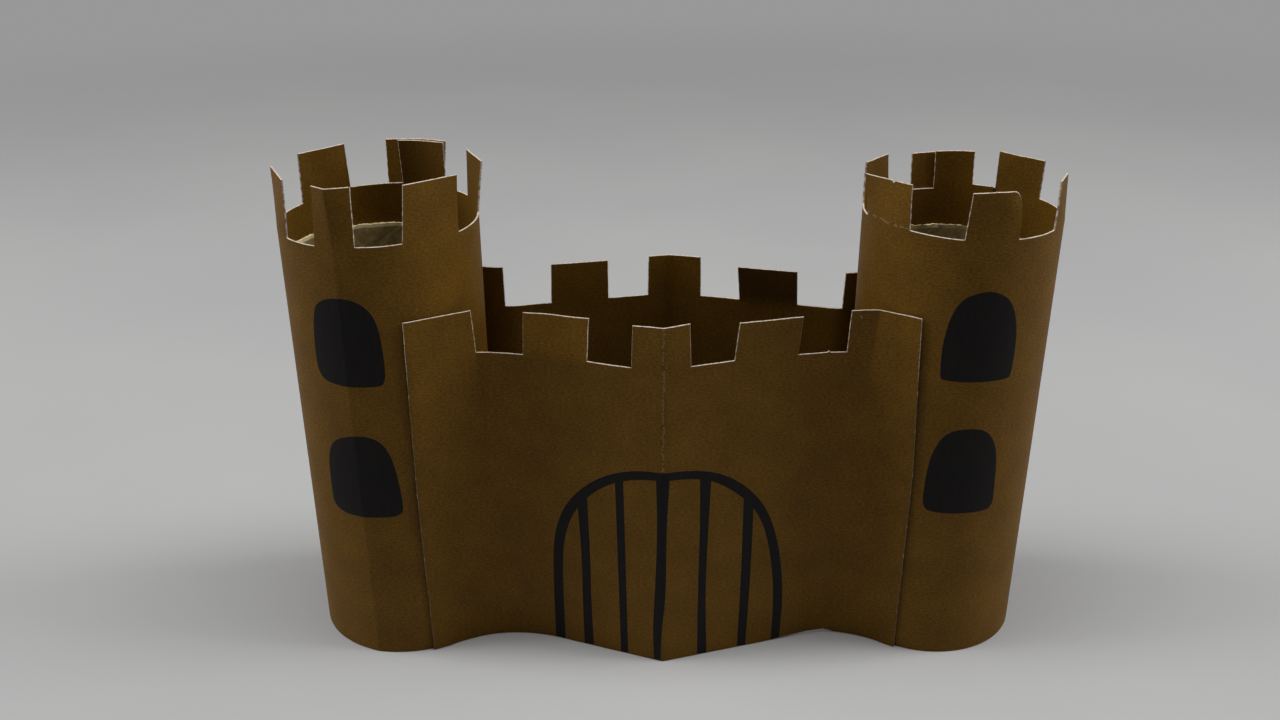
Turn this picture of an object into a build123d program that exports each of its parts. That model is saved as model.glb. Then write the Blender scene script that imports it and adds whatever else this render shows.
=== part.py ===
"""Paper castle of rolled, folded and cut brown card.

Two round towers stand side by side. Each is a cardboard core with one sheet of card rolled round it, which
laps over its own start at the back and rises past the core in hand cut merlons. A front and a back wall,
each one sheet with merlons along its top edge and one upright fold, are glued by their ends to the towers.

Frame: +Z is up and the floor is z = 0, +X runs along the row of towers, and -Y is the gate side. The origin
is on the floor, below the middle of the castle. Lengths are in millimetres, and angles are in degrees.

Each sheet follows a plan line, a chain of tangent lines and arcs along the middle of its thickness. A place
on a sheet is a share of its flat length: a rolled sheet is counted from its inner end, anticlockwise as seen
from above, and a wall from its left end, as seen from the gate side.
"""
import math
import os

from build123d import *

# Card, glue and cores
card_thickness = 0.4
glue_gap = 0.1  # film between a core and its sheet, and between lapped layers
core_wall = 0.6

# Towers: the angles are about a tower's own axis, where 0 is +X and 90 is the back
tower_spacing = 133.4  # between the axes
left_core_radius = 22.24
right_core_radius = 21.84
left_core_height = 97.5  # on the axis: the cores are cut a little out of square
right_core_height = 96.5
left_core_slope = 1.5
right_core_slope = 1.2
left_core_high_side = 200
right_core_high_side = 150

# Rolled sheets
left_tower_height = 119.0
right_tower_height = 117.6
left_merlon_height = 12.9
right_merlon_height = 10.5
left_lap_length = 18.6  # how far the sheet covers its own start
right_lap_length = 21.0
left_inner_end = 50  # where the sheet starts
right_inner_end = 57
lap_rise_angle = 30  # over which the sheet climbs onto its own start

# Walls
front_wall_height = 88.6
back_wall_height = 88.0
front_merlon_height = 10.3
back_merlon_height = 10.2
wall_end_gap = 0.3  # the glued ends have sprung off the towers a little
fold_radius = 6.0
front_fold_depth = 25.75  # from the line of the towers to the middle of the card
back_fold_depth = 23.8
front_fold_offset = -1.2  # along X, from midway between the towers
back_fold_offset = 0.4
front_left_glued_length = 4.9
front_right_glued_length = 2.8
back_left_glued_length = 6.7
back_right_glued_length = 7.3
front_left_valley_radius = 30.0  # the hollow bend beside each glued end
front_right_valley_radius = 23.5
back_left_valley_radius = 17.5
back_right_valley_radius = 10.0
front_left_panel_angle = 20.0  # between the flat panel beside the fold and the line of the towers
front_right_panel_angle = 17.2
back_left_panel_angle = 13.0
back_right_panel_angle = 15.0

# Merlons, one row each: foot start, foot end, top start and top end along the sheet
left_merlon_shares = (
    (0.015, 0.092, 0.014, 0.091),
    (0.170, 0.256, 0.171, 0.250),
    (0.356, 0.419, 0.348, 0.424),
    (0.478, 0.537, 0.482, 0.538),
    (0.599, 0.690, 0.605, 0.691),
    (0.778, 0.846, 0.776, 0.845),
    (0.906, 1.000, 0.904, 0.995),
)
right_merlon_shares = (
    (0.031, 0.090, 0.033, 0.090),
    (0.169, 0.268, 0.178, 0.262),
    (0.317, 0.411, 0.317, 0.405),
    (0.485, 0.559, 0.489, 0.553),
    (0.628, 0.694, 0.641, 0.694),
    (0.787, 0.867, 0.786, 0.867),
    (0.902, 1.000, 0.903, 1.000),
)
front_merlon_shares = (
    (0.000, 0.130, 0.000, 0.123),
    (0.222, 0.352, 0.225, 0.354),
    (0.438, 0.552, 0.442, 0.547),
    (0.635, 0.765, 0.645, 0.770),
    (0.861, 1.000, 0.863, 1.000),
)
back_merlon_shares = (
    (0.000, 0.156, 0.000, 0.155),
    (0.252, 0.374, 0.254, 0.374),
    (0.459, 0.575, 0.462, 0.573),
    (0.660, 0.781, 0.659, 0.780),
    (0.873, 1.000, 0.879, 1.000),
)

# How high each merlon rises, as a share of the merlon height
left_merlon_rise_shares = (0.94, 0.90, 1.00, 0.99, 0.98, 0.92, 0.95)
right_merlon_rise_shares = (0.77, 0.87, 0.95, 1.00, 0.99, 0.84, 0.75)
front_merlon_rise_shares = (1.00, 0.98, 1.00, 0.95, 0.97)
back_merlon_rise_shares = (1.00, 1.00, 0.98, 0.90, 0.92)

# How far each merlon leans outwards from the upright
left_merlon_leans = (-4, 0, 0, 0, 0, 5, 0)
right_merlon_leans = (0, 0, -5, 0, -3, 0, 0)
front_merlon_leans = (0, -3, 0, 4, 0)
back_merlon_leans = (0, 0, 0, -7, 0)


def walk(place, heading, length, turn):
    """Where a line ends that sets out at this heading and turns evenly over its length."""
    if turn == 0:
        return place[0] + length * math.cos(heading), place[1] + length * math.sin(heading)
    radius = length / turn
    east = radius * (math.sin(heading + turn) - math.sin(heading))
    north = radius * (math.cos(heading) - math.cos(heading + turn))
    return place[0] + east, place[1] + north


class PlanLine:
    """A chain of tangent lines and arcs, given as (length, turn) stretches with turns in radians."""

    def __init__(self, place, heading, stretches):
        self.stretches = []
        self.length = 0
        for length, turn in stretches:
            self.stretches.append((self.length, length, turn, place, heading))
            place = walk(place, heading, length, turn)
            heading += turn
            self.length += length

    def at(self, distance):
        """The place and the heading at a distance along the line."""
        for start, length, turn, place, heading in self.stretches:
            if distance <= start + length:
                break
        gone = distance - start
        turned = turn * gone / length
        return walk(place, heading, gone, turned), heading + turned

    def ticks(self, start, end):
        """The start, the joints between stretches and the end, in order."""
        joints = [stretch[0] for stretch in self.stretches]
        return [start] + [joint for joint in joints if start < joint < end] + [end]


def beside(line, distance, aside, height, shift):
    """A point at a height, a little to the right of the line and then moved by the shift."""
    (x, y), heading = line.at(distance)
    return x + aside * math.sin(heading) + shift[0], y - aside * math.cos(heading) + shift[1], height


def strip(line, ticks, height, shift=(0, 0)):
    """A level face, one card thick, along the line from the first tick to the last."""

    def side(aside):
        edges = []
        for start, end in zip(ticks, ticks[1:]):
            first, middle, last = (
                beside(line, distance, aside, height, shift) for distance in (start, (start + end) / 2, end)
            )
            straight = math.isclose(line.at(start)[1], line.at(end)[1])
            edges.append(Line(first, last) if straight else ThreePointArc(first, middle, last))
        return edges

    right = side(card_thickness / 2)
    left = side(-card_thickness / 2)
    near_end = Line(left[0] @ 0, right[0] @ 0)
    far_end = Line(right[-1] @ 1, left[-1] @ 1)
    return Face(Wire(right + [far_end] + left + [near_end]))


def merlon(line, places, foot, rise, lean):
    """A merlon: a ruled solid from its foot on the sheet to its own narrower, leaning top."""
    foot_start, foot_end, top_start, top_end = (share * line.length for share in places)
    foot_ticks = line.ticks(foot_start, foot_end)
    stretch = (top_end - top_start) / (foot_end - foot_start)
    top_ticks = [top_start + (tick - foot_start) * stretch for tick in foot_ticks]
    _, heading = line.at((foot_start + foot_end) / 2)
    reach = rise * math.tan(math.radians(lean))
    shift = (reach * math.sin(heading), -reach * math.cos(heading))
    return loft([strip(line, foot_ticks, foot), strip(line, top_ticks, foot + rise, shift)], ruled=True)


def sheet(line, height, merlon_height, shares, rise_shares, leans):
    """An upright sheet along the plan line, with its merlons."""
    foot = height - merlon_height
    body = extrude(strip(line, line.ticks(0, line.length), 0), amount=foot, dir=(0, 0, 1))
    for places, rise_share, lean in zip(shares, rise_shares, leans):
        body += merlon(line, places, foot, rise_share * merlon_height, lean)
    return body


def core(radius, height, slope, high_side):
    """A cardboard tube whose top is cut out of square, highest towards the high side."""
    rise = math.tan(math.radians(slope))
    lean = (-rise * math.cos(math.radians(high_side)), -rise * math.sin(math.radians(high_side)), 1)
    tube = extrude(Circle(radius) - Circle(radius - core_wall), height + radius)
    return split(tube, bisect_by=Plane(origin=(0, 0, height), z_dir=lean), keep=Keep.BOTTOM)


def layer_radius(core_radius, layers):
    """The outside radius of a tower where this many layers of card lie on the core."""
    return core_radius + layers * (glue_gap + card_thickness)


def rolled_line(core_radius, inner_end, lap_length):
    """Once round the core, up onto the sheet's own start, and on over it for the length of the lap."""
    inner = layer_radius(core_radius, 1) - card_thickness / 2
    outer = layer_radius(core_radius, 2) - card_thickness / 2
    half_rise = math.radians(lap_rise_angle) / 2
    ease = (outer - inner) / 2 / (1 - math.cos(half_rise))
    round_turn = 2 * math.pi - 2 * half_rise
    stretches = [
        (inner * round_turn, round_turn),
        ((inner + ease) * half_rise, half_rise),
        ((outer - ease) * half_rise, half_rise),
        (lap_length, lap_length / outer),
    ]
    start = math.radians(inner_end)
    return PlanLine((inner * math.cos(start), inner * math.sin(start)), start + math.pi / 2, stretches)


def half_wall(land_radius, glued_length, valley_radius, panel_angle, fold_offset, fold_depth):
    """From a wall's end on the left tower to its fold: the first place and heading, and the stretches."""
    heading = -math.radians(panel_angle)
    ahead = Vector(math.cos(heading), math.sin(heading))
    across = Vector(-math.sin(heading), math.cos(heading))
    tower = Vector(-tower_spacing / 2, 0)
    fold_center = Vector(fold_offset, fold_radius - fold_depth)
    from_tower = fold_center - across * (fold_radius + valley_radius) - tower
    along = math.sqrt((land_radius + valley_radius) ** 2 - from_tower.dot(across) ** 2)
    panel_length = from_tower.dot(ahead) - along
    valley = from_tower - ahead * panel_length
    leave = math.atan2(valley.Y, valley.X)
    glued_turn = glued_length / land_radius
    end = leave - glued_turn
    valley_turn = heading - leave - math.pi / 2
    start = (tower.X + land_radius * math.cos(end), tower.Y + land_radius * math.sin(end))
    bends = [(glued_length, glued_turn), (-valley_radius * valley_turn, valley_turn), (panel_length, 0)]
    return start, end + math.pi / 2, bends


def wall_line(fold_offset, fold_depth, left, right):
    """The whole plan line of a wall in front of the towers, from its left end to its right end.

    Each side gives its land radius, glued length, valley radius and panel angle.
    """
    start, heading, left_bends = half_wall(*left, fold_offset, fold_depth)
    _, _, right_bends = half_wall(*right, -fold_offset, fold_depth)
    fold_turn = math.radians(left[-1] + right[-1])
    fold = (fold_radius * fold_turn, fold_turn)
    return PlanLine(start, heading, left_bends + [fold] + right_bends[::-1])


def land_radius(core_radius, layers):
    """The radius to the middle of a wall's glued end, on a tower with this many layers of card."""
    return layer_radius(core_radius, layers) + wall_end_gap + card_thickness / 2


left_tower_tube = core(left_core_radius, left_core_height, left_core_slope, left_core_high_side)
right_tower_tube = core(right_core_radius, right_core_height, right_core_slope, right_core_high_side)
left_tower_wrap = sheet(
    rolled_line(left_core_radius, left_inner_end, left_lap_length),
    left_tower_height, left_merlon_height, left_merlon_shares, left_merlon_rise_shares, left_merlon_leans,
)
right_tower_wrap = sheet(
    rolled_line(right_core_radius, right_inner_end, right_lap_length),
    right_tower_height, right_merlon_height, right_merlon_shares, right_merlon_rise_shares, right_merlon_leans,
)

front_line = wall_line(
    front_fold_offset, front_fold_depth,
    (land_radius(left_core_radius, 1), front_left_glued_length, front_left_valley_radius,
     front_left_panel_angle),
    (land_radius(right_core_radius, 1), front_right_glued_length, front_right_valley_radius,
     front_right_panel_angle),
)
# The back wall is drawn in front of the towers and mirrored: its left end lies on the left sheet's lap
back_line = wall_line(
    back_fold_offset, back_fold_depth,
    (land_radius(left_core_radius, 2), back_left_glued_length, back_left_valley_radius,
     back_left_panel_angle),
    (land_radius(right_core_radius, 1), back_right_glued_length, back_right_valley_radius,
     back_right_panel_angle),
)
front_wall = sheet(
    front_line,
    front_wall_height, front_merlon_height, front_merlon_shares, front_merlon_rise_shares, front_merlon_leans,
)
back_wall = mirror(
    sheet(
        back_line,
        back_wall_height, back_merlon_height, back_merlon_shares, back_merlon_rise_shares, back_merlon_leans,
    ),
    about=Plane.XZ,
)

# The towers' line is set so that the origin is below the middle of the whole castle
middle_x = (layer_radius(left_core_radius, 1) - layer_radius(right_core_radius, 1)) / 2
middle_y = (front_fold_depth - back_fold_depth) / 2
left_place = Pos(middle_x - tower_spacing / 2, middle_y, 0)
right_place = Pos(middle_x + tower_spacing / 2, middle_y, 0)
wall_place = Pos(middle_x, middle_y, 0)
pieces = {
    "left_tower_tube": left_place * left_tower_tube,
    "left_tower_wrap": left_place * left_tower_wrap,
    "right_tower_tube": right_place * right_tower_tube,
    "right_tower_wrap": right_place * right_tower_wrap,
    "front_wall": wall_place * front_wall,
    "back_wall": wall_place * back_wall,
}

os.makedirs("parts", exist_ok=True)
for name, piece in pieces.items():
    export_step(piece, f"parts/{name}.step")
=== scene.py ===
"""Looks of the paper castle: brown card, cut flat and then rolled or folded, on two cardboard cores.

Each sheet is made as its maker made it. A flat pattern is cut by hand and drawn on, in distances along
the sheet and heights, and then follows the same plan line as its solid. Lengths are in millimetres and
angles in degrees until a mesh is made. The gate side of a tower is at -90, and walls count from their
left end.
"""
import math

import bpy
import numpy as np
from mathutils import Matrix, Vector, geometry, noise


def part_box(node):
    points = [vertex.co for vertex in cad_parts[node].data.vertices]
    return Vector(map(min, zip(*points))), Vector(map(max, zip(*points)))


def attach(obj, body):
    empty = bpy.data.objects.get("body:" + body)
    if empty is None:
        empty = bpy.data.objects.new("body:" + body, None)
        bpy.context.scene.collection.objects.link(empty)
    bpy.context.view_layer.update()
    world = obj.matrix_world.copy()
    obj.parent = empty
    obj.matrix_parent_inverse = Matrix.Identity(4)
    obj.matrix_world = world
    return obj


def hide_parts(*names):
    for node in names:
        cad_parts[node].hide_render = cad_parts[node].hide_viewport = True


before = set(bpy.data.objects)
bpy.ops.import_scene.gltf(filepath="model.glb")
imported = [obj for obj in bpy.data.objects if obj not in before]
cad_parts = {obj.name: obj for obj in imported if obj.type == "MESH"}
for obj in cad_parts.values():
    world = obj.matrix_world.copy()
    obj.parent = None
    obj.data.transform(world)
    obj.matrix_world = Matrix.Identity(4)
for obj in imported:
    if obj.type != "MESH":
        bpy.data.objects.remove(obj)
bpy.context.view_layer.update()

MM = 0.001
CARD, CUT_EDGE, INK = range(3)  # places in a sheet's list of materials

# Card, glue and cores, as in the solids
card_thickness = 0.4
glue_gap = 0.1
core_wall = 0.6
left_core_radius = 22.24
right_core_radius = 21.84
left_inner_end = 50  # the angle where a tower's sheet starts
right_inner_end = 57
left_lap_length = 18.6
right_lap_length = 21.0
lap_rise_angle = 30
wall_end_gap = 0.3
soft_fold_radius = 6.0
sharp_fold_radius = 2.0
fold_sharpness = 0.22  # how much further out a sharp fold reaches than a soft one

# Mesh steps and limits
grid_step = 1.1
row_step = 1.7
edge_step = 1.0
edge_clearance = 0.4
grid_points_at_once = 400
weld_distance = 1e-5
drawn_rounding = 3  # how often the corners of a drawn line are cut off
corner_steps = 6
core_steps = 240
core_levels = 40
smooth_angle = 40
inner_face_shift = 400  # keeps the grain of the two faces apart

# Cuts and creases
cut_wobble = 0.09
slow_wander = 0.16  # how fast a cut wavers, in waves per millimetre
quick_wander = 0.7
quick_share = 0.5
slow_shift = 7.3  # these keep the wavering of one cut apart from the next
quick_shift = 3.1
quick_seed = 50
steady_length = 8  # in cuts longer than this, the wavering grows over 2 mm from each corner
crease_width = 0.7
cut_bevel = 0.13  # scissors leave the card's pale core a little open to both faces
merlon_margin = 0.6
curl_width = 2.5  # in times the curl's reach
curl_margin = 1.5
sprung_height = 60  # from here up a glued end has sprung off by its full distance

# Merlons: foot start, foot end, top start, top end along the sheet, and the heights of the top's corners
left_merlons = (
    (0.015, 0.090, 0.008, 0.091, 118.7, 118.3),
    (0.170, 0.256, 0.172, 0.252, 117.9, 117.8),
    (0.356, 0.419, 0.348, 0.424, 119.0, 118.7),
    (0.478, 0.537, 0.482, 0.538, 118.9, 119.0),
    (0.599, 0.690, 0.606, 0.692, 118.9, 118.6),
    (0.778, 0.846, 0.776, 0.845, 118.0, 118.2),
    (0.906, 1.000, 0.904, 0.999, 118.2, 117.9),
)
right_merlons = (
    (0.031, 0.090, 0.033, 0.091, 115.2, 115.0),
    (0.169, 0.268, 0.178, 0.262, 115.9, 116.8),
    (0.317, 0.411, 0.317, 0.407, 116.6, 117.4),
    (0.485, 0.559, 0.489, 0.558, 117.4, 117.6),
    (0.628, 0.694, 0.641, 0.694, 117.3, 117.2),
    (0.787, 0.867, 0.786, 0.867, 116.1, 115.9),
    (0.902, 1.000, 0.903, 0.998, 115.0, 114.6),
)
front_merlons = (
    (0.000, 0.132, -0.003, 0.127, 88.5, 88.1),
    (0.219, 0.349, 0.217, 0.346, 87.0, 87.5),
    (0.437, 0.552, 0.440, 0.549, 88.4, 89.1),
    (0.636, 0.764, 0.642, 0.768, 88.2, 87.8),
    (0.860, 1.000, 0.864, 0.996, 88.0, 88.5),
)
back_merlons = (
    (0.000, 0.156, 0.000, 0.155, 88.0, 88.1),
    (0.252, 0.374, 0.254, 0.374, 88.0, 87.9),
    (0.459, 0.575, 0.462, 0.573, 88.0, 88.0),
    (0.658, 0.781, 0.656, 0.780, 87.2, 87.3),
    (0.873, 1.000, 0.876, 1.000, 87.1, 87.0),
)

# Heights at both ends of each crenel, also of the short ones before the first and after the last merlon
left_crenels = (
    (106.8, 106.9), (107.5, 107.2), (106.0, 105.9), (105.6, 105.7), (106.0, 106.1), (105.7, 105.8),
    (107.0, 107.0), (106.1, 106.1),
)
right_crenels = (
    (107.2, 107.2), (105.9, 106.0), (107.2, 107.0), (107.5, 107.1), (107.0, 107.1), (107.2, 107.1),
    (106.9, 106.9), (106.9, 106.9),
)
front_crenels = ((78.1, 78.1), (77.7, 77.7), (78.2, 78.3), (78.9, 79.0), (78.4, 77.9), (77.9, 77.9))
back_crenels = ((77.8, 77.8),) * 6

# How far merlons stand out at their tops, by number: a place along the sheet and a distance, or several
left_stances = {
    0: ((0.050, -1.0),),
    1: ((0.210, -0.2),),
    2: ((0.385, -0.7),),
    3: ((0.478, -0.9), (0.506, 1.0), (0.538, -1.1)),
    4: ((0.650, -0.4),),
    5: ((0.776, 1.1), (0.845, 0.0)),
    6: ((0.950, 1.4),),
}
right_stances = {
    0: ((0.060, 0.5),),
    1: ((0.220, -0.5),),
    2: ((0.317, 0.3), (0.404, -1.0)),
    4: ((0.641, -0.7), (0.694, -1.0)),
    5: ((0.820, -0.5),),
    6: ((0.950, 0.6),),
}
front_stances = {1: ((0.290, -2.6),), 3: ((0.700, 0.7),)}
back_stances = {2: ((0.515, 0.4),), 3: ((0.720, -2.2),)}

# Windows drawn on the towers: angle round the tower and height
left_upper_window = (
    (-122, 90), (-117, 93), (-104, 94.5), (-92, 93.5), (-83.5, 89.5), (-81.5, 80), (-82, 74), (-87, 73),
    (-116, 73), (-124, 75), (-124.5, 82),
)
left_lower_window = (
    (-124.5, 54.5), (-117, 59), (-100, 61), (-88, 59.5), (-82, 54), (-79, 43), (-80, 39.5), (-94, 39),
    (-125, 39), (-125.5, 46),
)
right_upper_window = (
    (-107.5, 75), (-105, 74), (-67, 74), (-64.5, 75), (-64, 85), (-69.5, 92.5), (-80, 95.5), (-91, 95.5),
    (-102, 93), (-107.5, 85),
)
right_lower_window = (
    (-109, 41), (-103, 40), (-77, 40), (-65.5, 40.5), (-65.5, 45), (-67, 56), (-75, 61.5), (-86, 62.5),
    (-100, 61.5), (-107.5, 55.5), (-109.5, 46),
)

# The gate drawn on the front wall, its arch first: distance along the sheet, height and stroke width
gate_strokes = (
    (
        (33.1, 0.2, 2.7), (33.0, 22.0, 2.5), (33.9, 32.0, 2.7), (37.4, 40.5, 2.7), (44.5, 47.7, 2.4),
        (53.0, 51.4, 2.3), (62.0, 52.1, 2.1), (71.5, 50.9, 2.2), (79.0, 46.2, 2.7), (85.3, 38.7, 2.3),
        (88.6, 28.0, 2.4), (90.3, 14.0, 2.5), (89.9, 0.2, 2.3),
    ),
    ((40.0, 43.0, 2.7), (40.7, 26.0, 2.2), (40.6, 13.0, 2.3), (40.9, 0.2, 2.5)),
    ((49.5, 49.6, 2.1), (49.9, 30.0, 2.0), (50.4, 0.2, 1.9)),
    ((60.2, 51.1, 3.1), (60.0, 36.0, 2.0), (59.7, 20.0, 2.7), (58.9, 9.0, 2.2), (59.0, 0.2, 1.7)),
    ((70.5, 50.4, 2.8), (70.4, 37.0, 2.1), (70.0, 18.0, 1.9), (70.4, 0.2, 2.5)),
    ((81.4, 43.2, 2.6), (81.4, 22.0, 2.5), (80.8, 0.2, 2.2)),
)

# Marks of wear: the merlon whose last corner is curled, a nick, a burr, and a spot without colour
curled_merlon = 3
right_nick_angle = -149
gate_burr_place = 99.6
bare_spot = ((106.2, 86.8), (106.5, 86.6), (106.8, 86.0), (106.6, 86.0))

# Creases: an angle on the left tower, and distances along the front wall
tower_crease_angle = -103.5
left_crease = 16.0
right_crease = 103.5
right_slant = 0.078  # sideways for each millimetre up

# The camera, with its place in millimetres, and the stage in metres
camera_place = (-3.89, -259.6, 187.04)
camera_pitch = 24.28
camera_yaw = -0.63
camera_roll = 0.31
camera_lens = 33.23
camera_sensor = 36
lamp_target = (0, 0, 0.06)
floor_half = 3.0
floor_fade = (0.3, 1.1)  # between these distances the floor runs into the backdrop

# Grain of the materials
fibre_stretch = (0.55, 1.3)
fibre_scale = 2.2
satin_sheen = 0.12
edge_shade_blend = 6  # the height over which a cut edge turns from painted shade to pale
seam_pitch = 69.0
seam_slope = 1.4


def walk(place, heading, gone, curvature):
    """Places on a line that sets out at this heading and turns evenly, after these distances."""
    if curvature == 0:
        return place[0] + gone * math.cos(heading), place[1] + gone * math.sin(heading)
    turned = heading + curvature * gone
    east = (np.sin(turned) - math.sin(heading)) / curvature
    north = (math.cos(heading) - np.cos(turned)) / curvature
    return place[0] + east, place[1] + north


class PlanLine:
    """A chain of tangent lines and arcs, given as (length, turn) stretches with turns in radians."""

    def __init__(self, place, heading, stretches):
        self.stretches = []
        self.length = 0
        for length, turn in stretches:
            self.stretches.append((self.length, turn / length, place, heading))
            place = walk(place, heading, length, turn / length)
            heading += turn
            self.length += length

    def at(self, along):
        """Places and headings at these distances along the line."""
        x, y, headings = (np.zeros_like(along) for _ in range(3))
        for start, curvature, place, heading in self.stretches:
            here = along >= start if start else np.full(along.shape, True)
            gone = along[here] - start
            x[here], y[here] = walk(place, heading, gone, curvature)
            headings[here] = heading + curvature * gone
        return x, y, headings


def layer_radius(core_radius, layers):
    """The outside radius of a tower where this many layers of card lie on the core."""
    return core_radius + layers * (glue_gap + card_thickness)


def sheet_radius(core_radius, layer):
    """The radius to the middle of one layer of card, counted from the core."""
    return layer_radius(core_radius, layer) - card_thickness / 2


def glued_radius(core_radius, layers):
    """The radius to the middle of a wall's glued end, on a tower with this many layers of card."""
    return layer_radius(core_radius, layers) + wall_end_gap + card_thickness / 2


def rolled_line(core_radius, inner_end, lap_length):
    """Once round the core, up onto the sheet's own start, and on over it for the length of the lap."""
    inner = sheet_radius(core_radius, 1)
    outer = sheet_radius(core_radius, 2)
    half_rise = math.radians(lap_rise_angle) / 2
    ease = (outer - inner) / 2 / (1 - math.cos(half_rise))
    round_turn = 2 * math.pi - 2 * half_rise
    stretches = [
        (inner * round_turn, round_turn),
        ((inner + ease) * half_rise, half_rise),
        ((outer - ease) * half_rise, half_rise),
        (lap_length, lap_length / outer),
    ]
    start = math.radians(inner_end)
    place = (inner * math.cos(start), inner * math.sin(start))
    return PlanLine(place, start + math.pi / 2, stretches)


def half_wall(
    spacing, fold_offset, fold_depth, fold_radius, land_radius, glued_length, valley_radius, panel_angle
):
    """From a wall's end on the left tower to its fold: first place, heading and stretches."""
    heading = -math.radians(panel_angle)
    ahead = Vector((math.cos(heading), math.sin(heading)))
    across = Vector((-math.sin(heading), math.cos(heading)))
    tower = Vector((-spacing / 2, 0))
    fold_center = Vector((fold_offset, fold_radius - fold_depth))
    from_tower = fold_center - across * (fold_radius + valley_radius) - tower
    reach = math.sqrt((land_radius + valley_radius) ** 2 - from_tower.dot(across) ** 2)
    panel_length = from_tower.dot(ahead) - reach
    valley = from_tower - ahead * panel_length
    leave = math.atan2(valley.y, valley.x)
    glued_turn = glued_length / land_radius
    end = leave - glued_turn
    valley_turn = heading - leave - math.pi / 2
    start = (tower.x + land_radius * math.cos(end), tower.y + land_radius * math.sin(end))
    glued = (glued_length, glued_turn)
    valley_bend = (-valley_radius * valley_turn, valley_turn)
    return start, end + math.pi / 2, [glued, valley_bend, (panel_length, 0)]


def wall_line(spacing, fold_offset, fold_depth, fold_radius, left, right):
    """The whole plan line of a wall in front of the towers, and how far along it the fold is.

    Each side gives its land radius, glued length, valley radius and panel angle.
    """
    start, heading, left_bends = half_wall(spacing, fold_offset, fold_depth, fold_radius, **left)
    _, _, right_bends = half_wall(spacing, -fold_offset, fold_depth, fold_radius, **right)
    fold_turn = math.radians(left["panel_angle"] + right["panel_angle"])
    fold = (fold_radius * fold_turn, fold_turn)
    line = PlanLine(start, heading, left_bends + [fold] + right_bends[::-1])
    return line, sum(length for length, _ in left_bends) + fold[0] / 2


def rounded(points, closed):
    """The same line with its corners cut off again and again, until it looks drawn in one go."""
    near, far = 0.75, 0.25
    line = np.array(points, float)
    for _ in range(drawn_rounding):
        following = np.roll(line, -1, axis=0) if closed else line[1:]
        before = line if closed else line[:-1]
        cut = np.stack([near * before + far * following, far * before + near * following], axis=1)
        cut = cut.reshape(-1, line.shape[1])
        line = cut if closed else np.vstack([line[:1], cut, line[-1:]])
    return line


def anticlockwise(loop):
    """The loop in the order that the triangulation needs."""
    following = np.roll(loop, -1, axis=0)
    area = (loop[:, 0] * following[:, 1] - loop[:, 1] * following[:, 0]).sum()
    return loop if area > 0 else loop[::-1]


def on_tower(angle, line_radius, inner_end):
    """How far along a rolled sheet this angle is."""
    return math.radians((angle - inner_end) % 360) * line_radius


def window(points, line_radius, inner_end):
    """A drawn window's outline on a rolled sheet."""
    outline = [(on_tower(angle, line_radius, inner_end), height) for angle, height in points]
    return rounded(outline, True)


def stroke(points):
    """The outline of one pen stroke along these points, which give its width as well."""
    line = rounded(points, False)
    ahead = np.gradient(line[:, :2], axis=0)
    ahead /= np.linalg.norm(ahead, axis=1)[:, None]
    aside = np.stack([-ahead[:, 1], ahead[:, 0]], axis=1) * line[:, 2:] / 2
    return np.vstack([line[:, :2] + aside, (line[:, :2] - aside)[::-1]])


def top_edge(length, merlons, crenels):
    """The corners along a sheet's crenellated edge, from its start to its end."""
    points = []
    if merlons[0][0] > 0:
        points.append((0, crenels[0][0]))
    for merlon, before, after in zip(merlons, crenels, crenels[1:]):
        foot_start, foot_end, top_start, top_end, start_height, end_height = merlon
        if foot_start > 0:
            points.append((foot_start * length, before[1]))
        points.append((top_start * length, start_height))
        points.append((top_end * length, end_height))
        if foot_end < 1:
            points.append((foot_end * length, after[0]))
    if merlons[-1][1] < 1:
        points.append((length, crenels[-1][1]))
    return points


def level_outline(length, top):
    """The corners of a flat pattern with a straight lower edge, anticlockwise."""
    return [(0, 0), (length, 0)] + top[::-1]


def nicked(points, place, width, rise):
    """The edge with one small nick or burr at a distance along the sheet."""
    for index, (first, last) in enumerate(zip(points, points[1:])):
        if first[0] < place - width and place + width < last[0]:
            share = (place - first[0]) / (last[0] - first[0])
            level = first[1] + share * (last[1] - first[1])
            burr = [(place - width / 2, level), (place, level + rise), (place + width / 2, level)]
            return points[: index + 1] + burr + points[index + 1:]
    return points


def round_corner(points, place, before, after):
    """The edge with the corner nearest to a place rounded off, over these distances beside it."""
    inner_points = range(1, len(points) - 1)
    number = min(inner_points, key=lambda n: (Vector(points[n]) - Vector(place)).length)
    first, corner, last = (Vector(points[number + step]) for step in (-1, 0, 1))
    first = corner + (first - corner).normalized() * before
    last = corner + (last - corner).normalized() * after
    arc = []
    for step in range(corner_steps + 1):
        share = step / corner_steps
        arc.append(tuple(first.lerp(corner, share).lerp(corner.lerp(last, share), share)))
    return points[:number] + arc + points[number + 1:]


def hand_cut(corners, seed):
    """A closed outline through the corners, with the slight wander of scissors between them."""
    made = []
    for number, (first, last) in enumerate(zip(corners, corners[1:] + corners[:1])):
        first, last = Vector(first), Vector(last)
        run = last - first
        steps = max(1, round(run.length / edge_step))
        aside = Vector((-run.y, run.x)).normalized()
        for step in range(steps):
            share = step / steps
            gone = share * run.length
            slow = Vector((gone * slow_wander, number * slow_shift, seed))
            quick = Vector((gone * quick_wander, number * quick_shift, seed + quick_seed))
            wander = noise.noise(slow) + quick_share * noise.noise(quick)
            hold = min(1, 4 * share * (1 - share) * max(1, run.length / steady_length))
            made.append(first + run * share + aside * wander * hold * cut_wobble)
    return np.array(made)


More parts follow.
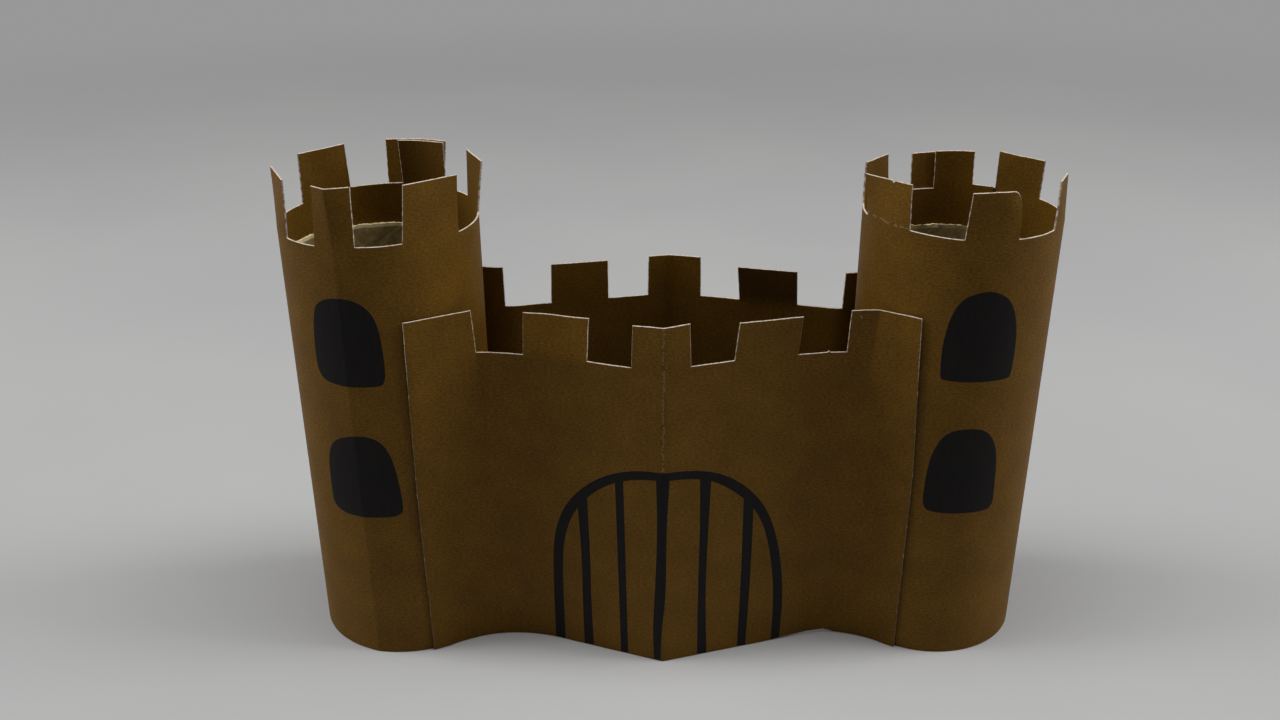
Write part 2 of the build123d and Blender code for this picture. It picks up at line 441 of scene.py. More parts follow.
def clear_points(points, loops):
    """The points inside the first loop that keep a little clear of every loop's edge."""
    starts = np.concatenate(loops)
    ends = np.concatenate([np.roll(loop, -1, axis=0) for loop in loops])
    runs = ends - starts
    outline = len(loops[0])
    kept = []
    for part in np.array_split(points, max(1, len(points) // grid_points_at_once)):
        offset = part[:, None] - starts
        share = np.clip((offset * runs).sum(2) / (runs ** 2).sum(1), 0, 1)
        apart = np.linalg.norm(offset - share[..., None] * runs, axis=2).min(1)
        y = part[:, 1:]
        spans = (starts[:outline, 1] > y) != (ends[:outline, 1] > y)
        rise = np.where(runs[:outline, 1] == 0, 1, runs[:outline, 1])
        crossing = starts[:outline, 0] + (y - starts[:outline, 1]) / rise * runs[:outline, 0]
        inside = (spans & (part[:, :1] < crossing)).sum(1) % 2 == 1
        kept.append(part[inside & (apart > edge_clearance)])
    return np.concatenate(kept)


def crease_lines(places, top):
    """Lines along each (place, slant) crease and close by it, which keep it crisp in the mesh."""
    heights = np.arange(-1, top + 2, row_step)
    return [
        np.stack([place + slant * heights + aside, heights], axis=1)
        for place, slant in places for aside in (-crease_width / 2, 0, crease_width / 2)
    ]


def triangulate(outline, marks, creases):
    """Points and triangles of the flat pattern, with the material number of each triangle.

    Marks are (outline, material number) pairs, and creases are (place, slant) pairs.
    """
    loops = [anticlockwise(loop) for loop in [outline] + [loop for loop, _ in marks]]
    lines = crease_lines(creases, outline[:, 1].max())
    rows = np.arange(0, outline[:, 1].max(), row_step)
    columns = np.arange(0, outline[:, 0].max(), grid_step)
    grid = [(x + grid_step / 2 * (row % 2), y) for row, y in enumerate(rows) for x in columns]
    points = np.concatenate(loops + lines + [clear_points(np.array(grid), loops + lines)])
    ends = np.cumsum([len(run) for run in loops + lines])
    runs = [list(range(end - len(run), end)) for run, end in zip(loops + lines, ends)]
    faces = runs[:len(loops)]
    edges = [pair for run in runs[len(loops):] for pair in zip(run, run[1:])]
    vectors = [Vector(point) for point in points]
    made = geometry.delaunay_2d_cdt(vectors, edges, faces, 1, weld_distance, True)
    flat, _, triangles, _, _, sources = made
    inside = [number for number, source in enumerate(sources) if 0 in source]
    kind_of = [CARD] + [kind for _, kind in marks]
    kinds = [kind_of[max(sources[number])] for number in inside]
    used, numbers = np.unique(np.array(triangles)[inside], return_inverse=True)
    return np.array([tuple(point) for point in flat])[used], numbers.reshape(-1, 3), np.array(kinds)


def ridge(place, rise, reach):
    """An outward crease up a sheet."""

    def bend(along, height):
        return rise * np.exp(-np.abs(along - place) / reach)

    return bend


def valley(place, depth, before, after, low, high, slant=0.0):
    """A crease that gathers a soft inward bend into one line, with flatter card for a way beside it."""

    def bend(along, height):
        past = along - place - slant * height
        share = np.clip(1 - np.abs(past) / np.where(past < 0, before, after), 0, None)
        return -depth * share ** 2 * np.clip((height - low) / (high - low), 0, 1)

    return bend


def stance(length, merlon, foot, points, curvature):
    """A merlon that stands off the sheet's curve, more and more towards its top, which springs flat."""
    foot_start, foot_end, top_start, top_end, start_height, end_height = merlon
    start = min(foot_start, top_start) * length
    end = max(foot_end, top_end) * length
    centre = (start + end) / 2
    width = end - start
    top = (start_height + end_height) / 2
    places = [share * length for share, _ in points]
    distances = [distance for _, distance in points]

    def bend(along, height):
        here = (along > start - merlon_margin) & (along < end + merlon_margin)
        flattened = ((along - centre) ** 2 - width ** 2 / 12) / 2 * curvature
        grown = np.clip((height - foot) / (top - foot), 0, None)
        return (np.interp(along, places, distances) + flattened) * grown * here

    return bend


def stances(length, merlons, crenels, table, curvature=0.0):
    """The bends of all merlons of a sheet rolled to this curvature. The first and last stay round."""
    upright = ((0, 0),)
    last = len(merlons) - 1
    bends = []
    for number, merlon in enumerate(merlons):
        spring = 0 if number in (0, last) else curvature
        bends.append(stance(length, merlon, crenels[number][1], table.get(number, upright), spring))
    return bends


def curl(corner, slope, reach, rise):
    """A corner that curls: it bends more and more, the further out it is past a slanting line."""
    across = Vector((math.cos(math.radians(slope)), math.sin(math.radians(slope))))
    place, corner_height = corner

    def bend(along, height):
        past = (along - place) * across.x + (height - corner_height) * across.y + reach
        near = (along > place - curl_width * reach) & (along < place + curl_margin)
        return rise * (np.clip(past, 0, None) / reach) ** 2 * near

    return bend


def sprung_end(place, rise, reach):
    """A glued end that has come a little off what it was stuck to, from the floor up."""

    def bend(along, height):
        share = np.clip(1 - np.abs(along - place) / reach, 0, None)
        return rise * share ** 2 * np.clip(height / sprung_height, 0, 1)

    return bend


class Sheet:
    """A flat pattern's way into space: its plan line, its place, and the bends off that line."""

    def __init__(self, line, place, bends, side=1):
        self.line = line
        self.place = place
        self.bends = bends
        self.side = side  # -1 for the back wall, which is the mirror image of a front one

    def faces(self, flat):
        """The outer and the inner points of the bent sheet, in metres."""
        along, height = flat[:, 0], flat[:, 1]
        x, y, heading = self.line.at(along)
        aside = sum((bend(along, height) for bend in self.bends), np.zeros_like(along))
        made = []
        for half in (card_thickness / 2, -card_thickness / 2):
            east = x + (aside + half) * np.sin(heading) + self.place[0]
            north = (y - (aside + half) * np.cos(heading)) * self.side + self.place[1]
            made.append(np.stack([east, north, height], axis=1) * MM)
        return made


def boundary(triangles):
    """The directed edges that only one triangle has."""
    edges = np.concatenate([triangles[:, [0, 1]], triangles[:, [1, 2]], triangles[:, [2, 0]]])
    known = {tuple(edge) for edge in edges}
    return np.array([edge for edge in edges if (edge[1], edge[0]) not in known])


def finish_mesh(name, points, faces, numbers, flat, materials):
    """An object of these faces, with material numbers and the flat pattern as its UV map."""
    mesh = bpy.data.meshes.new(name)
    mesh.from_pydata(points.tolist(), [], faces)
    for material in materials:
        mesh.materials.append(material)
    mesh.polygons.foreach_set("material_index", np.array(numbers, dtype=np.int32))
    mesh.polygons.foreach_set("use_smooth", np.full(len(faces), True))
    corners = np.empty(len(mesh.loops), dtype=np.int32)
    mesh.loops.foreach_get("vertex_index", corners)
    layer = mesh.uv_layers.new(name="flat")
    layer.data.foreach_set("uv", (flat[corners] * MM).astype(np.float32).ravel())
    mesh.set_sharp_from_angle(angle=math.radians(smooth_angle))
    mesh.validate()
    piece = bpy.data.objects.new(name, mesh)
    bpy.context.scene.collection.objects.link(piece)
    return piece


def inset(flat, rim, depth):
    """The flat pattern with its edge drawn in by this depth. The inside lies left of the rim's edges."""
    runs = flat[rim[:, 1]] - flat[rim[:, 0]]
    inward = np.stack([-runs[:, 1], runs[:, 0]], axis=1) / np.linalg.norm(runs, axis=1)[:, None]
    push = np.zeros_like(flat)
    for end in (0, 1):
        np.add.at(push, rim[:, end], inward)
    length = np.maximum(np.linalg.norm(push, axis=1), 1e-9)[:, None]
    return flat + push / length * np.where(length > 0.1, depth, 0)


def edge_sides(rim, count):
    """The two slopes of the cut edge's roof, whose ridge points follow the points of both faces."""
    first, last = rim[:, 0], rim[:, 1]
    ridge_number = np.zeros(count, dtype=int)
    ridge_number[first] = np.arange(len(rim)) + 2 * count
    outer_side = np.stack([last, first, ridge_number[first], ridge_number[last]], axis=1)
    inner_side = np.stack([ridge_number[last], ridge_number[first], first + count, last + count], axis=1)
    return np.concatenate([outer_side, inner_side])


def card_piece(name, node, sheet, outline, marks, materials, creases=()):
    """A sheet of card in place of its solid: two faces, and between them the roof of the cut edge."""
    flat, triangles, numbers = triangulate(outline, marks, creases)
    rim = boundary(triangles)
    first = rim[:, 0]
    outer, inner = sheet.faces(inset(flat, rim, cut_bevel))
    middle_line = sum(sheet.faces(flat)) / 2
    sides = edge_sides(rim, len(flat))
    groups = [triangles, triangles[:, ::-1] + len(flat), sides]
    if sheet.side < 0:
        groups = [group[:, ::-1] for group in groups]
    faces = [face for group in groups for face in group.tolist()]
    kinds = np.concatenate([numbers, np.full(len(triangles), CARD), np.full(len(sides), CUT_EDGE)])
    pattern = np.concatenate([flat, flat + [inner_face_shift, 0], flat[first]])
    points = np.concatenate([outer, inner, middle_line[first]])
    piece = finish_mesh(name, points, faces, kinds, pattern, materials)
    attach(piece, "root")
    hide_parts(node)


def ragged_line(angles, scale, swing, seed):
    """How far a ragged line round a core swings up or out at these angles."""
    return np.array([
        swing * noise.noise(Vector((scale * math.cos(angle), scale * math.sin(angle), seed)))
        for angle in angles
    ])


def core_rings(angles, radius, rim, seed):
    """Radii and heights of a core's rings: up the inside, over the rough rim and down the outside."""

    def ragged(scale, swing, layer):
        return ragged_line(angles, scale, swing, seed + layer)

    inside = radius - core_wall + ragged(2, 0.05, 2)
    inside_rim = rim + ragged(25, 0.3, 3)
    outside = np.full(len(angles), radius)
    rings = [(inside, inside_rim * level / core_levels) for level in range(core_levels + 1)]
    rings.append((radius - core_wall * 0.6 + ragged(20, 0.1, 4), rim + 0.15 + ragged(30, 0.3, 5)))
    rings.append((outside - core_wall * 0.1, rim - 0.1 + ragged(25, 0.3, 6)))
    rings.append((outside, rim - 0.4 + ragged(25, 0.2, 7)))
    rings.append((outside, np.zeros(len(angles))))
    return rings


def ring_faces(count, around):
    """Faces between neighbouring rings of points, the last of which joins the first."""
    faces = []
    for ring in range(count):
        here = ring * around
        there = (ring + 1) % count * around
        for step in range(around):
            after = (step + 1) % around
            faces.append([here + step, there + step, there + after, here + after])
    return faces


def core_piece(name, node, axis, radius, height, slope, high_side, seed, material):
    """A cardboard core with a rough, slightly slanting rim."""
    angles = np.arange(core_steps) / core_steps * 2 * math.pi
    rise = radius * math.tan(math.radians(slope)) * np.cos(angles - math.radians(high_side))
    rim = height + rise + ragged_line(angles, 3, 0.45, seed) + ragged_line(angles, 12, 0.25, seed + 1)
    points, flat = [], []
    for ring_radius, ring_height in core_rings(angles, radius, rim, seed):
        east = axis[0] + ring_radius * np.cos(angles)
        north = axis[1] + ring_radius * np.sin(angles)
        points.append(np.stack([east, north, ring_height], axis=1) * MM)
        flat.append(np.stack([angles * radius, ring_height - rim], axis=1))
    faces = ring_faces(len(points), core_steps)
    numbers = [0] * len(faces)
    piece = finish_mesh(name, np.concatenate(points), faces, numbers, np.concatenate(flat), [material])
    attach(piece, "root")
    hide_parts(node)


def linear(red, green, blue):
    """An 8 bit colour as the shader takes it."""
    shares = [value / 255 for value in (red, green, blue)]
    return [v / 12.92 if v <= 0.04045 else ((v + 0.055) / 1.055) ** 2.4 for v in shares] + [1]


# Tones from dark to pale, each with its place on the scale of the noise that picks it
card_tones = ((0.30, linear(69, 47, 9)), (0.50, linear(99, 69, 15)), (0.72, linear(133, 95, 26)))
edge_tones = ((0.30, linear(150, 124, 96)), (0.50, linear(204, 188, 170)), (0.75, linear(222, 210, 198)))
ink_tones = ((0.30, linear(14, 11, 11)), (0.55, linear(19, 16, 15)), (0.80, linear(30, 23, 18)))
board_tones = ((0.32, linear(98, 84, 48)), (0.50, linear(136, 118, 72)), (0.70, linear(180, 158, 106)))
floor_tones = ((0.3, linear(166, 166, 166)), (0.7, linear(172, 172, 171)))

# Single colours
card_speck = linear(150, 122, 78)
# Along a crease: a painted shade, and the pale of its worn flecks
crease_shade = linear(64, 43, 9)
rubbed_pale = linear(138, 110, 70)
# Painted shade on cut edges: low on the gate wall, and in patches on edges that face sideways
edge_shade = linear(84, 62, 30)
board_seam = linear(112, 95, 58)
torn_board = linear(236, 220, 168)
backdrop = linear(152, 152, 152)


class Nodes:
    """The node tree of a material or the world, with short calls for the nodes that are used here."""

    def __init__(self, holder):
        holder.use_nodes = True
        self.holder = holder
        self.tree = holder.node_tree
        shaders = ("BSDF_PRINCIPLED", "BACKGROUND")
        self.shader = next(node for node in self.tree.nodes if node.type in shaders)

    def add(self, kind, **settings):
        """A new node with these settings."""
        made = self.tree.nodes.new(kind)
        for key, value in settings.items():
            setattr(made, key, value)
        return made

    def put(self, socket, value):
        """Links a socket to another, or sets its value."""
        if isinstance(value, bpy.types.NodeSocket):
            self.tree.links.new(value, socket)
        else:
            socket.default_value = value

    def flat(self, along=1, up=1):
        """The place on the flat pattern in millimetres, stretched as asked."""
        uv = self.add("ShaderNodeUVMap", uv_map="flat")
        scaled = self.add("ShaderNodeVectorMath", operation="MULTIPLY")
        self.put(scaled.inputs[0], uv.outputs[0])
        self.put(scaled.inputs[1], (along / MM, up / MM, 1))
        return scaled.outputs[0]

    def split(self, vector):
        """The three parts of a vector."""
        made = self.add("ShaderNodeSeparateXYZ")
        self.put(made.inputs[0], vector)
        return made.outputs

    def noise(self, where, scale, detail=2, roughness=0.5):
        """Cloudy values from 0 to 1."""
        made = self.add("ShaderNodeTexNoise")
        self.put(made.inputs["Vector"], where)
        self.put(made.inputs["Scale"], scale)
        self.put(made.inputs["Detail"], detail)
        self.put(made.inputs["Roughness"], roughness)
        return made.outputs[0]

    def math(self, operation, first, second=0.0):
        """One step of arithmetic."""
        made = self.add("ShaderNodeMath", operation=operation)
        self.put(made.inputs[0], first)
        self.put(made.inputs[1], second)
        return made.outputs[0]

    def span(self, value, low, high, new_low=0.0, new_high=1.0):
        """A smooth step from one value to another."""
        made = self.add("ShaderNodeMapRange", interpolation_type="SMOOTHSTEP")
        self.put(made.inputs[0], value)
        for number, edge in enumerate((low, high, new_low, new_high), 1):
            self.put(made.inputs[number], edge)
        return made.outputs[0]

    def mix(self, share, first, second):
        """Two colours mixed, with this share of the second. The node's colour sockets are 6, 7 and 2."""
        made = self.add("ShaderNodeMix", data_type="RGBA")
        self.put(made.inputs[0], share)
        self.put(made.inputs[6], first)
        self.put(made.inputs[7], second)
        return made.outputs[2]

    def ramp(self, value, stops):
        """The colour that a value picks between these stops."""
        made = self.add("ShaderNodeValToRGB")
        self.put(made.inputs[0], value)
        elements = made.color_ramp.elements
        while len(elements) < len(stops):
            elements.new(0.5)
        for element, (position, colour) in zip(elements, stops):
            element.position = position
            element.color = colour
        return made.outputs[0]

    def bump(self, value, strength, depth):
        """Relief from a value, with its depth in millimetres."""
        made = self.add("ShaderNodeBump")
        self.put(made.inputs["Strength"], strength)
        self.put(made.inputs["Distance"], depth * MM)
        self.put(made.inputs["Height"], value)
        self.put(self.shader.inputs["Normal"], made.outputs[0])

    def surface(self, colour, roughness, sheen=0.5):
        """The colour, roughness and sheen of the material."""
        self.put(self.shader.inputs["Base Color"], colour)
        self.put(self.shader.inputs["Roughness"], roughness)
        self.put(self.shader.inputs["Specular IOR Level"], sheen)


def crease_wear_and_shade(nodes, upright, place, low, high):
    """Where a crease shows as a wavering line of painted shade between two ends, and where its flecks
    have no colour from wear.
    """
    across, along, _ = nodes.split(nodes.flat())
    if not upright:
        across, along = along, across
    wander = nodes.math("MULTIPLY", nodes.math("SUBTRACT", nodes.noise(nodes.flat(), 0.35), 0.5), 1.6)
    apart = nodes.math("ABSOLUTE", nodes.math("ADD", nodes.math("SUBTRACT", across, place), wander))
    line = nodes.span(apart, 0.08, 0.34, 1.0, 0.0)
    flecks = nodes.span(nodes.noise(nodes.flat(), 1.3, 3), 0.38, 0.54)
    start = nodes.span(along, low - 1, low + 1)
    end = nodes.span(along, high - 1, high + 1, 1.0, 0.0)
    return nodes.math("MULTIPLY", line, nodes.math("MULTIPLY", start, end)), flecks


def brown_card(name, strength=0.0, crease=None):
    """Dyed card: fine fibres, slight clouds, a few pale specks, a satin sheen, and one worn crease with
    painted shade along it between its pale flecks.
    """
    nodes = Nodes(bpy.data.materials.new(name))
    fibres = nodes.noise(nodes.flat(*fibre_stretch), fibre_scale, 5, 0.75)
    clouds = nodes.noise(nodes.flat(), 0.11, 3, 0.6)
    tone = nodes.math("ADD", nodes.math("MULTIPLY", fibres, 0.8), nodes.math("MULTIPLY", clouds, 0.2))
    specks = nodes.span(nodes.noise(nodes.flat(), 0.9, 1), 0.77, 0.82)
    colour = nodes.mix(nodes.math("MULTIPLY", specks, 0.35), nodes.ramp(tone, card_tones), card_speck)
    if crease:
        line, flecks = crease_wear_and_shade(nodes, **crease)
        # The crease line is painted shade, and its pale flecks are real wear
        shade_and_wear = nodes.mix(flecks, crease_shade, rubbed_pale)
        colour = nodes.mix(nodes.math("MULTIPLY", line, strength), colour, shade_and_wear)
    nodes.surface(colour, nodes.span(fibres, 0.2, 0.8, 0.68, 0.56), satin_sheen)
    nodes.bump(fibres, 0.35, 0.06)
    return nodes.holder


def cut_edge(name, pale_from=0.0):
    """The card's pale core, where it is cut. Below a height, and in patches where the edge faces
    sideways, it is painted brown as shade.
    """
    nodes = Nodes(bpy.data.materials.new(name))
    where = nodes.add("ShaderNodeTexCoord").outputs["Object"]
    fibres = nodes.noise(where, 1800, 3, 0.6)
    _, height, _ = nodes.split(nodes.flat())
    flecks = nodes.span(nodes.noise(nodes.flat(0, 1), 0.35, 3), 0.52, 0.66, 0.15, 0.6)
    # Below pale_from the edge is painted shade, broken by pale flecks
    pale = nodes.math("MAXIMUM", nodes.span(height, pale_from - edge_shade_blend, pale_from), flecks)
    colour = nodes.mix(pale, edge_shade, nodes.ramp(fibres, edge_tones))
    # Edges that face sideways get patches of painted shade; those that face up or down stay pale
    _, _, upward = nodes.split(nodes.add("ShaderNodeNewGeometry").outputs["Normal"])
    upright = nodes.span(nodes.math("ABSOLUTE", upward), 0.1, 0.6, 1.0, 0.0)
    side_edge_shade = nodes.span(nodes.noise(nodes.flat(0, 1), 0.9, 2), 0.42, 0.56, 0.65, 0.0)
    colour = nodes.mix(nodes.math("MULTIPLY", upright, side_edge_shade), colour, edge_shade)
    nodes.surface(colour, 0.85)
    nodes.bump(fibres, 0.4, 0.08)
    return nodes.holder


def marker_ink():
    """Black marker: nearly even, with faint streaks of filling in and the card's own fibres under it."""
    nodes = Nodes(bpy.data.materials.new("marker_ink"))
    streaks = nodes.noise(nodes.flat(0.9, 0.12), 1.1, 3, 0.6)
    fibres = nodes.noise(nodes.flat(*fibre_stretch), fibre_scale, 4, 0.65)
    dullness = nodes.span(streaks, 0.2, 0.8, 0.48, 0.60)
    nodes.surface(nodes.ramp(streaks, ink_tones), dullness, satin_sheen)
    nodes.bump(fibres, 0.25, 0.05)
    return nodes.holder


def core_board(name, least_torn):
    """Grey board of a paper roll: mottled, with a slanting seam, and torn paler along its rim."""
    nodes = Nodes(bpy.data.materials.new(name))
    mottle = nodes.noise(nodes.flat(), 0.5, 4, 0.65)
    fibres = nodes.noise(nodes.flat(0.4, 1.5), 3.0, 3, 0.6)
    tone = nodes.math("ADD", nodes.math("MULTIPLY", mottle, 0.65), nodes.math("MULTIPLY", fibres, 0.35))
    along, height, _ = nodes.split(nodes.flat())
    slant = nodes.math("ADD", along, nodes.math("MULTIPLY", height, seam_slope))
    turn = nodes.math("SUBTRACT", nodes.math("MODULO", slant, seam_pitch), seam_pitch / 2)
    seam = nodes.span(nodes.math("ABSOLUTE", turn), 0.2, 0.8, 1.0, 0.0)
    colour = nodes.mix(nodes.math("MULTIPLY", seam, 0.5), nodes.ramp(tone, board_tones), board_seam)
    rim = nodes.span(height, -1.0, -0.6)
    patches = nodes.span(nodes.noise(nodes.flat(), 0.16, 2), 0.50, 0.58, least_torn, 1.0)
    mottled = nodes.math("MULTIPLY", patches, nodes.span(mottle, 0.35, 0.6, 0.75, 1.0))
    colour = nodes.mix(nodes.math("MULTIPLY", rim, mottled), colour, torn_board)
    nodes.surface(colour, 0.9)
    nodes.bump(nodes.math("SUBTRACT", tone, nodes.math("MULTIPLY", seam, 0.5)), 0.5, 0.15)
    return nodes.holder


def shown(nodes):
    """1 for the rays that show the background: straight ones, mirrored ones and those through glass."""
    path = nodes.add("ShaderNodeLightPath")
    kinds = [path.outputs["Is %s Ray" % kind] for kind in ("Camera", "Glossy", "Transmission")]
    return nodes.math("MAXIMUM", nodes.math("MAXIMUM", kinds[0], kinds[1]), kinds[2])


def pale_floor():
    """The plain pale floor, which runs into the backdrop's colour far away from the castle."""
    nodes = Nodes(bpy.data.materials.new("pale_floor"))
    where = nodes.add("ShaderNodeTexCoord").outputs["Object"]
    drift = nodes.noise(where, 6, 2)
    nodes.surface(nodes.ramp(drift, floor_tones), 0.8)
    away = nodes.add("ShaderNodeVectorMath", operation="LENGTH")
    nodes.put(away.inputs[0], where)
    far = nodes.add("ShaderNodeEmission")
    nodes.put(far.inputs["Color"], backdrop)
    share = nodes.span(away.outputs["Value"], *floor_fade)
    blend = nodes.add("ShaderNodeMixShader")
    nodes.put(blend.inputs[0], nodes.math("MULTIPLY", share, shown(nodes)))
    nodes.put(blend.inputs[1], nodes.shader.outputs[0])
    nodes.put(blend.inputs[2], far.outputs[0])
    nodes.put(nodes.tree.nodes["Material Output"].inputs["Surface"], blend.outputs[0])
    return nodes.holder


def axis_of(node):
    """Where a tower's axis stands, in millimetres."""
    low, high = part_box(node)
    return (low.x + high.x) / 2 / MM, (low.y + high.y) / 2 / MM


left_axis = axis_of("left_tower_tube")
right_axis = axis_of("right_tower_tube")
middle = ((left_axis[0] + right_axis[0]) / 2, (left_axis[1] + right_axis[1]) / 2)
spacing = right_axis[0] - left_axis[0]

left_line = rolled_line(left_core_radius, left_inner_end, left_lap_length)
right_line = rolled_line(right_core_radius, right_inner_end, right_lap_length)
front_line, front_fold = wall_line(
    spacing, fold_offset=-1.5, fold_depth=25.75 + fold_sharpness, fold_radius=sharp_fold_radius,
    left={
        "land_radius": glued_radius(left_core_radius, 1), "glued_length": 4.9,
        "valley_radius": 30.0, "panel_angle": 20.0,
    },
    right={
        "land_radius": glued_radius(right_core_radius, 1), "glued_length": 2.8,
        "valley_radius": 23.5, "panel_angle": 17.2,
    },
)
back_line, _ = wall_line(
    spacing, fold_offset=0.4, fold_depth=23.8, fold_radius=soft_fold_radius,
    left={
        "land_radius": glued_radius(left_core_radius, 2), "glued_length": 6.7,
        "valley_radius": 17.5, "panel_angle": 13.0,
    },
    right={
        "land_radius": glued_radius(right_core_radius, 1), "glued_length": 7.3,
        "valley_radius": 10.0, "panel_angle": 15.0,
    },
)


def make_left_wrap(materials):
    """The left tower's sheet, with one crease down its front."""
    length = left_line.length
    line_radius = sheet_radius(left_core_radius, 1)
    top = top_edge(length, left_merlons, left_crenels)
    crease = on_tower(tower_crease_angle, line_radius, left_inner_end)
    bends = stances(length, left_merlons, left_crenels, left_stances, 1 / line_radius)
    bends.append(ridge(crease, rise=0.35, reach=3.0))
    sheet = Sheet(left_line, left_axis, bends)
    windows = (left_upper_window, left_lower_window)
    marks = [(window(points, line_radius, left_inner_end), INK) for points in windows]
    outline = hand_cut(level_outline(length, top), seed=1)
    card_piece("left_wrap", "left_tower_wrap", sheet, outline, marks, materials, [(crease, 0)])


def make_right_wrap(materials):
    """The right tower's sheet, with a nick, and a merlon that has one curled corner."""
    length = right_line.length
    line_radius = sheet_radius(right_core_radius, 1)
    _, _, _, top_end, _, end_height = right_merlons[curled_merlon]
    corner = (top_end * length, end_height)
    top = top_edge(length, right_merlons, right_crenels)
    top = nicked(top, on_tower(right_nick_angle, line_radius, right_inner_end), width=1.0, rise=-0.5)
    top = round_corner(top, corner, before=2.4, after=5.0)
    bends = stances(length, right_merlons, right_crenels, right_stances, 1 / line_radius)
    bends.append(curl(corner, slope=30, reach=4.5, rise=-1.3))
    sheet = Sheet(right_line, right_axis, bends)
    windows = (right_upper_window, right_lower_window)
    marks = [(window(points, line_radius, right_inner_end), INK) for points in windows]
    outline = hand_cut(level_outline(length, top), seed=2)
    card_piece("right_wrap", "right_tower_wrap", sheet, outline, marks, materials)


def front_outline():
    """The corners of the gate wall's flat pattern, with its waved lower edge and slightly bowed ends."""
    length = front_line.length
    top = top_edge(length, front_merlons, front_crenels)
    top = nicked(top, gate_burr_place, width=0.8, rise=0.4)
    lower_edge = [(0, 0), (86, 0), (97, 0.5), (103, 0.75), (105.6, 0.15), (113, 0.05)]
    right_edge = [(length + 0.45, 0), (length + 0.9, 50)]
    left_edge = [(-0.7, 45)]
    return lower_edge + right_edge + top[::-1] + left_edge


def make_front_wall(materials):
    """The gate wall, with its drawn gate, its fold and the creases beside its glued ends."""
    length = front_line.length
    bends = stances(length, front_merlons, front_crenels, front_stances)
    bends.append(sprung_end(0, rise=0.5, reach=5))
    bends.append(sprung_end(length, rise=0.6, reach=6))
    bends.append(valley(left_crease, 1.9, before=11.1, after=16.5, low=-10, high=75))
    right_valley = valley(right_crease, 1.3, before=12.5, after=8.5, low=-25, high=70, slant=right_slant)
    bends.append(right_valley)
    sheet = Sheet(front_line, middle, bends)
    marks = [(stroke(points), INK) for points in gate_strokes]
    marks.append((np.array(bare_spot), CUT_EDGE))
    creases = [(front_fold, 0), (left_crease, 0), (right_crease, right_slant)]
    outline = hand_cut(front_outline(), seed=3)
    card_piece("gate_wall", "front_wall", sheet, outline, marks, materials, creases)


def make_back_wall(materials):
    """The plain wall at the back."""
    length = back_line.length
    top = top_edge(length, back_merlons, back_crenels)
    bends = stances(length, back_merlons, back_crenels, back_stances)
    sheet = Sheet(back_line, middle, bends, side=-1)
    outline = hand_cut(level_outline(length, top), seed=4)
    card_piece("rear_wall", "back_wall", sheet, outline, [], materials)


def add_camera():
    """The camera at the photo's angle."""
    pitch = math.radians(camera_pitch)
    yaw = math.radians(camera_yaw)
    roll = math.radians(camera_roll)
    level = math.cos(pitch)
    forward = Vector((math.sin(yaw) * level, math.cos(yaw) * level, -math.sin(pitch)))
    right = Vector((math.cos(yaw), -math.sin(yaw), 0))
    down = forward.cross(right)
    across = right * math.cos(roll) + down * math.sin(roll)
    up = right * math.sin(roll) - down * math.cos(roll)
    data = bpy.data.cameras.new("camera")
    data.sensor_width = camera_sensor
    data.lens = camera_lens
    camera = bpy.data.objects.new("camera", data)
    turn = Matrix((across, up, -forward)).transposed().to_4x4()
    camera.matrix_world = Matrix.Translation(Vector(camera_place) * MM) @ turn
    bpy.context.scene.collection.objects.link(camera)
    bpy.context.scene.camera = camera


def add_lamp(name, place, width, height, power):
    """A soft lamp that points at the castle. The place and sizes are in metres."""
    data = bpy.data.lights.new(name, "AREA")
    data.shape = "RECTANGLE"
    data.size = width
    data.size_y = height
    data.energy = power
    lamp = bpy.data.objects.new(name, data)
    lamp.location = place
    lamp.rotation_mode = "QUATERNION"
    lamp.rotation_quaternion = (Vector(lamp_target) - Vector(place)).to_track_quat("-Z", "Y")
    bpy.context.scene.collection.objects.link(lamp)


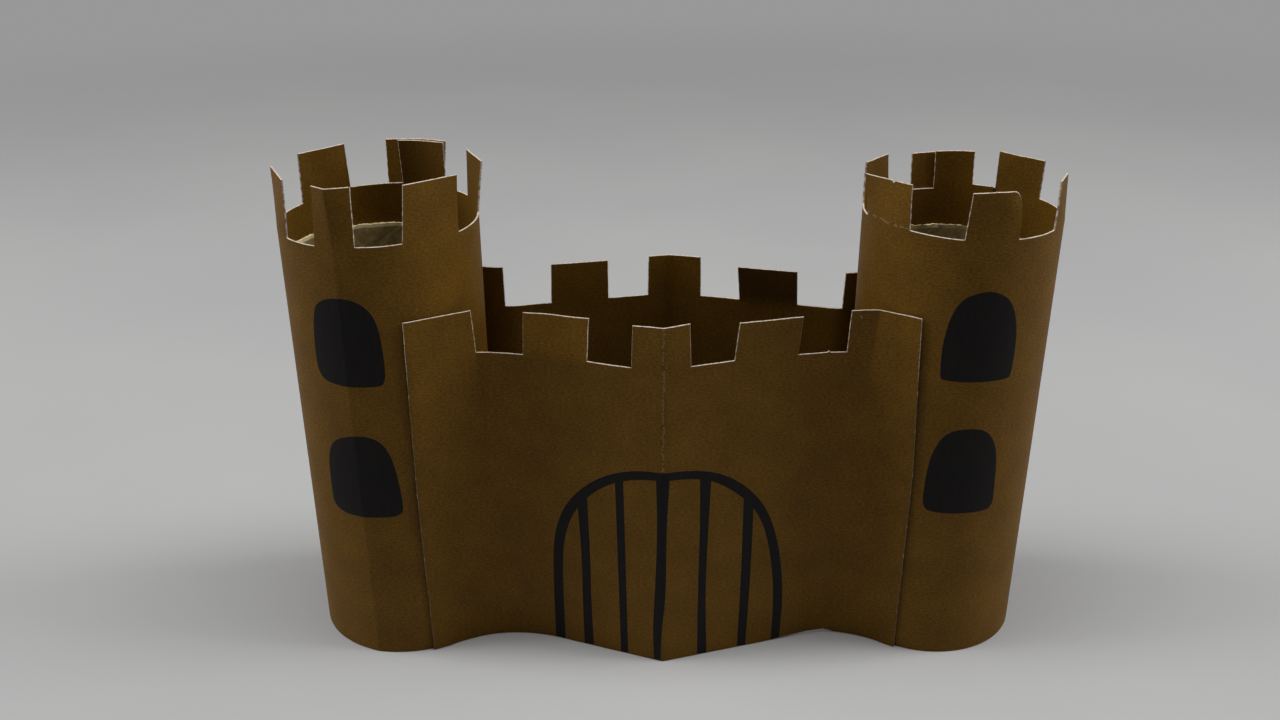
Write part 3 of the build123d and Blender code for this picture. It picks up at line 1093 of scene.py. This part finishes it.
def add_floor():
    """A wide floor under the castle."""
    signs = ((-1, -1), (1, -1), (1, 1), (-1, 1))
    corners = [(floor_half * east, floor_half * north, 0) for east, north in signs]
    mesh = bpy.data.meshes.new("floor")
    mesh.from_pydata(corners, [], [(0, 1, 2, 3)])
    mesh.materials.append(pale_floor())
    floor = bpy.data.objects.new("floor", mesh)
    bpy.context.scene.collection.objects.link(floor)


def add_world(level):
    """Even light from all sides, behind a plain backdrop."""
    world = bpy.data.worlds.new("studio")
    bpy.context.scene.world = world
    nodes = Nodes(world)
    nodes.put(nodes.shader.inputs["Color"], nodes.mix(shown(nodes), (level, level, level, 1), backdrop))


plain_card = brown_card("brown_card")
# Crease lines: painted shade along them, with worn pale flecks
fold_wear_and_shade = {"upright": True, "place": front_fold, "low": 52, "high": 89}
gate_card = brown_card("brown_card_folded", 0.7, fold_wear_and_shade)
bend_wear_and_shade = {"upright": False, "place": 107.8, "low": 50, "high": 67}
right_card = brown_card("brown_card_bent", 0.9, bend_wear_and_shade)
edge = cut_edge("card_cut_edge")
# The gate wall's cut edges are painted shade below its crenels
gate_edge = cut_edge("card_edge_painted_shade", pale_from=77)
ink = marker_ink()
left_board = core_board("core_board_torn", least_torn=1.0)
right_board = core_board("core_board", least_torn=0.2)

make_left_wrap([plain_card, edge, ink])
make_right_wrap([right_card, edge, ink])
make_front_wall([gate_card, gate_edge, ink])
make_back_wall([plain_card, edge, ink])
core_piece(
    "left_core", "left_tower_tube", left_axis, left_core_radius,
    height=97.5, slope=1.5, high_side=200, seed=11, material=left_board,
)
core_piece(
    "right_core", "right_tower_tube", right_axis, right_core_radius,
    height=96.5, slope=1.2, high_side=150, seed=12, material=right_board,
)

add_floor()
add_camera()
add_world(level=0.04)
add_lamp("top_lamp", (0.0, -0.08, 1.25), width=1.6, height=0.4, power=12.5)
add_lamp("right_lamp", (1.0, 0.0, 0.7), width=0.4, height=0.9, power=7.0)
add_lamp("left_lamp", (-1.0, 0.0, 0.7), width=0.4, height=0.9, power=6.2)
bpy.context.scene.view_settings.view_transform = "Standard"
